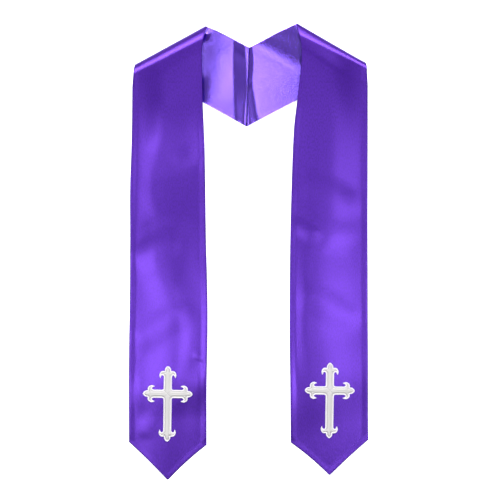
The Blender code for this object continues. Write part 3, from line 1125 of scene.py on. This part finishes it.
@dataclass(frozen=True)
class BridalSatin:
    """Polyester satin, woven with long warp floats and pressed.

    The floats run along the band and act as fine parallel rods: light glances off them in a
    narrow streak along the band and a wide one across it, tinted by the dyed thread.
    """

    name: str
    colour: str = "#380B90"
    # Colour of the weave's low streaks: the threads' own streaky tone, darkened further as painted
    # shade in the weave's hollows
    weave_tone_and_shade: str = "#1D034A"
    glance: str = "#936EFF"
    ior: float = 3.2
    roughness: float = 0.23
    anisotropy: float = 0.625
    gloss: float = 0.2
    thread_mm: float = 1.8
    float_mm: float = 4.5
    cockle_mm: float = 9.0
    weave_depth_mm: float = 0.13
    cockle_depth_mm: float = 0.12

    def material(self) -> Any:
        """The finish as a material.

        Returns:
            A Principled material that reads the piece's cloth map.
        """
        material, tree, output = new_material(self.name)
        place = add_node(tree, "ShaderNodeUVMap", {"uv_map": CLOTH_UV}, {})
        # Real threads are 0.1 mm apart. They are drawn coarser so that they show.
        threads = add_node(
            tree,
            "ShaderNodeMapping",
            {},
            {
                "Vector": place.outputs[0],
                "Scale": (1 / (self.thread_mm * MM), 1 / (self.float_mm * MM), 1),
            },
        )
        streaks = add_node(
            tree,
            "ShaderNodeTexNoise",
            {"noise_dimensions": "2D"},
            {"Vector": threads.outputs[0], "Scale": 1.0, "Detail": 3.0, "Roughness": 0.65},
        )
        cockles = add_node(
            tree,
            "ShaderNodeTexNoise",
            {"noise_dimensions": "2D"},
            {"Vector": place.outputs[0], "Scale": 1 / (self.cockle_mm * MM), "Detail": 3.0},
        )
        # The streak noise picks the colour and also sinks the low streaks by the bump below, so the
        # darker colour there is painted shade in the weave's hollows as well as the threads' streaky
        # tone
        tone_and_shade_share = add_node(
            tree,
            "ShaderNodeMapRange",
            {},
            {"Value": streaks.outputs["Fac"], "From Min": 0.3, "From Max": 0.7},
        )
        colour = add_node(
            tree,
            "ShaderNodeMix",
            {"data_type": "RGBA"},
            {0: tone_and_shade_share.outputs[0], 6: linear_rgb(self.weave_tone_and_shade), 7: linear_rgb(self.colour)},
        )
        cockled = add_node(
            tree,
            "ShaderNodeBump",
            {},
            {"Height": cockles.outputs["Fac"], "Strength": 0.35, "Distance": self.cockle_depth_mm * MM},
        )
        woven = add_node(
            tree,
            "ShaderNodeBump",
            {},
            {
                "Height": streaks.outputs["Fac"],
                "Strength": 0.8,
                "Distance": self.weave_depth_mm * MM,
                "Normal": cockled.outputs[0],
            },
        )
        across = add_node(
            tree, "ShaderNodeTangent", {"direction_type": "UV_MAP", "uv_map": CLOTH_UV}, {}
        )
        shader = add_node(
            tree,
            "ShaderNodeBsdfPrincipled",
            {},
            {
                "Base Color": colour.outputs[2],
                "Roughness": self.roughness,
                "IOR": self.ior,
                "Specular IOR Level": 1.0,
                "Specular Tint": linear_rgb(self.glance),
                "Anisotropic": self.anisotropy,
                "Coat Weight": self.gloss,
                "Coat Roughness": 0.2,
                "Tangent": across.outputs[0],
                "Normal": woven.outputs[0],
            },
        )
        tree.links.new(shader.outputs[0], output.inputs["Surface"])
        return material


@dataclass(frozen=True)
class RayonThread:
    """White rayon embroidery thread, laid in satin stitch: bright, with a silky sheen."""

    name: str
    # The default white is drawn grey and is used for the core: painted shade, so the core reads darker
    # than the cord of the same white thread
    colour: str = "#D3D1D1"
    # Colour of the strands' low parts: their own tone, darkened further as painted shade in the hollows
    # between strands
    strand_tone_and_shade: str = "#ADABAB"
    roughness: float = 0.45
    strand_mm: float = 0.4

    def material(self) -> Any:
        """The finish as a material.

        Returns:
            A Principled material that reads Object coordinates.
        """
        material, tree, output = new_material(self.name)
        place = add_node(tree, "ShaderNodeTexCoord", {}, {})
        strands = add_node(
            tree,
            "ShaderNodeTexNoise",
            {},
            {"Vector": place.outputs["Object"], "Scale": 1 / (self.strand_mm * MM), "Detail": 2.0},
        )
        # The strand noise picks the colour and also sinks the low parts by the bump below, so the
        # darker colour there is painted shade in the hollows as well as the thread's own tone
        colour = add_node(
            tree,
            "ShaderNodeMix",
            {"data_type": "RGBA"},
            {0: strands.outputs["Fac"], 6: linear_rgb(self.strand_tone_and_shade), 7: linear_rgb(self.colour)},
        )
        bump = add_node(
            tree,
            "ShaderNodeBump",
            {},
            {"Height": strands.outputs["Fac"], "Strength": 0.4, "Distance": 0.08 * MM},
        )
        shader = add_node(
            tree,
            "ShaderNodeBsdfPrincipled",
            {},
            {
                "Base Color": colour.outputs[2],
                "Roughness": self.roughness,
                "IOR": 1.53,
                "Sheen Weight": 0.2,
                "Sheen Roughness": 0.4,
                "Normal": bump.outputs[0],
            },
        )
        tree.links.new(shader.outputs[0], output.inputs["Surface"])
        return material


@dataclass(frozen=True)
class Backdrop:
    """Matt white acrylic top of a light table, lit from below so that no shadow shows on it."""

    name: str = "white_acrylic_light_table"
    colour: str = "#F8F8F9"
    glow: float = 0.8

    def material(self) -> Any:
        """The finish as a material."""
        material, tree, output = new_material(self.name)
        shader = add_node(
            tree,
            "ShaderNodeBsdfPrincipled",
            {},
            {
                "Base Color": linear_rgb(self.colour),
                "Roughness": 0.9,
                "Specular IOR Level": 0.1,
                "Emission Color": linear_rgb(self.colour),
                "Emission Strength": self.glow,
            },
        )
        tree.links.new(shader.outputs[0], output.inputs["Surface"])
        return material


@dataclass(frozen=True)
class Softbox:
    """A rectangular softbox. Its radiance is that of its surface, and lengths are in metres."""

    name: str
    place: tuple[float, float, float]
    aim: tuple[float, float, float]
    length_way: tuple[float, float, float]
    width: float
    length: float
    radiance: float

    def build(self) -> None:
        """Adds the light, facing its aim with its length along the given way.

        A flat emitter's power is pi times its radiance times its area.
        """
        light = bpy.data.lights.new(self.name, "AREA")
        light.shape = "RECTANGLE"
        light.size = self.width
        light.size_y = self.length
        light.energy = math.pi * self.radiance * self.width * self.length
        back = (Vector(self.place) - Vector(self.aim)).normalized()
        way = Vector(self.length_way)
        way = (way - way.dot(back) * back).normalized()
        turn = Matrix((way.cross(back), way, back)).transposed().to_4x4()
        lamp = bpy.data.objects.new(self.name, light)
        lamp.visible_camera = False
        lamp.matrix_world = Matrix.Translation(self.place) @ turn
        bpy.context.scene.collection.objects.link(lamp)


@dataclass(frozen=True)
class Studio:
    """The table, the lights and the camera. Lengths here are in metres."""

    lens: float = 85.0
    sensor: float = 36.0
    camera_at: tuple[float, float, float] = (0.002455, 0.004235, 1.9676)
    floor_size: float = 12.0
    walls: float = 0.04
    boxes: tuple[Softbox, ...] = (
        Softbox(
            name="low_left_box",
            place=(-0.66, -0.3, 2.0),
            aim=(0.0, -0.1, 0.0),
            length_way=(0.0, 1.0, 0.0),
            width=0.37,
            length=0.46,
            radiance=31.0,
        ),
        Softbox(
            name="low_right_box",
            place=(0.66, -0.3, 2.0),
            aim=(0.0, -0.1, 0.0),
            length_way=(0.0, 1.0, 0.0),
            width=0.37,
            length=0.46,
            radiance=31.0,
        ),
        Softbox(
            name="neck_box",
            place=(0.0, 0.6, 2.0),
            aim=(0.0, 0.3, 0.0),
            length_way=(0.0, 1.0, 0.0),
            width=0.3,
            length=0.3,
            radiance=9.2,
        ),
        Softbox(
            name="top_left_box",
            place=(-0.98, 2.0, 1.77),
            aim=(-0.13, 0.33, 0.0),
            length_way=(-0.35, 0.62, -0.87),
            width=0.5,
            length=0.7,
            radiance=42.0,
        ),
        Softbox(
            name="top_right_box",
            place=(0.98, 2.0, 1.77),
            aim=(0.13, 0.33, 0.0),
            length_way=(0.35, 0.62, -0.87),
            width=0.5,
            length=0.7,
            radiance=43.0,
        ),
    )

    def floor(self) -> Any:
        """The table top, a grid of one cell, which isn't part of the stole."""
        half = self.floor_size / 2 / MM
        corners = np.array([[-1, -1, 0], [1, -1, 0], [1, 1, 0], [-1, 1, 0]], dtype=float)
        table = mesh_object("table_top", corners * half, np.array([[0, 1, 2, 3]]), None)
        table.data.materials.append(Backdrop().material())
        return table

    def world(self) -> None:
        """White studio walls all round, as one even brightness."""
        world = bpy.data.worlds.new("studio_walls")
        world.use_nodes = True
        world.node_tree.nodes.clear()
        sky = add_node(
            world.node_tree,
            "ShaderNodeBackground",
            {},
            {"Color": linear_rgb("#FFFFFF"), "Strength": self.walls},
        )
        add_node(world.node_tree, "ShaderNodeOutputWorld", {}, {"Surface": sky.outputs[0]})
        bpy.context.scene.world = world

    def camera(self) -> None:
        """The camera, straight above the stole, with the neck at the top of the picture."""
        data = bpy.data.cameras.new("overhead_camera")
        data.lens = self.lens
        data.sensor_width = self.sensor
        data.clip_end = 50.0
        camera = bpy.data.objects.new("overhead_camera", data)
        camera.location = self.camera_at
        bpy.context.scene.collection.objects.link(camera)
        bpy.context.scene.camera = camera

    def build(self) -> None:
        """Adds everything, and the plain view transform that keeps white white."""
        self.floor()
        self.world()
        for box in self.boxes:
            box.build()
        self.camera()
        bpy.context.scene.view_settings.view_transform = "Standard"


def dress(piece: Any, material: Any, nodes: tuple[str, ...]) -> None:
    """Gives a piece its finish, its body and the solids that it stands for.

    Args:
        piece: The piece.
        material: Its finish.
        nodes: The solids that it replaces.
    """
    piece.data.materials.append(material)
    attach(piece, "root")
    for node in nodes:
        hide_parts(node)
    LOG.info("%s: %d faces", piece.name, len(piece.data.polygons))


def build_band(band: Band, face: Any, lining: Any) -> None:
    """Both layers of a band.

    Args:
        band: The band.
        face: The face's material.
        lining: The lining's material.
    """
    cloth = band.middle()
    for layer, material in ((Layer.FACE, face), (Layer.LINING, lining)):
        piece = band.build(layer, cloth)
        dress(piece, material, (f"{band.name}_{layer.word}",))


def build_cross(cross: EmbroideredCross, filling: Any, cord: Any) -> None:
    """The core and the border of a cross.

    Args:
        cross: The cross.
        filling: The core's material.
        cord: The border's material.
    """
    node = f"{cross.band.name}_cross"
    dress(cross.core(), filling, (node,))
    dress(cross.cord(), cord, (node,))


def main() -> None:
    """Builds the stole's pieces round the frame, then the studio."""
    logging.basicConfig(level=logging.INFO, format="%(name)s: %(message)s")
    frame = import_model()
    LOG.info("frame: %d nodes", len(frame["nodes"]))
    # The face is pressed and slightly creased by wear, so its glance is soft and wide. The
    # lining is smooth, and shines harder and in narrow bands.
    face = BridalSatin(
        name="purple_satin",
        colour="#340D7C",
        weave_tone_and_shade="#1D0449",
        glance="#945FFF",
        ior=1.78,
        roughness=0.343,
        anisotropy=0.046,
        gloss=0.0,
    ).material()
    lining = BridalSatin(name="purple_satin_lining").material()
    # Painted shade: the core's white rayon is drawn greyer than the cord's, so the core reads darker
    # than the border
    filling = RayonThread(name="white_rayon_fishbone_stitch").material()
    cord = RayonThread(name="white_rayon_cord_stitch", colour="#F6F3F8", strand_tone_and_shade="#E2DFE5").material()
    for band in (LEFT, RIGHT):
        build_band(band, face, lining)
    for cross in (LEFT_CROSS, RIGHT_CROSS):
        build_cross(cross, filling, cord)
    Studio().build()


if __name__ == "__main__":
    main()
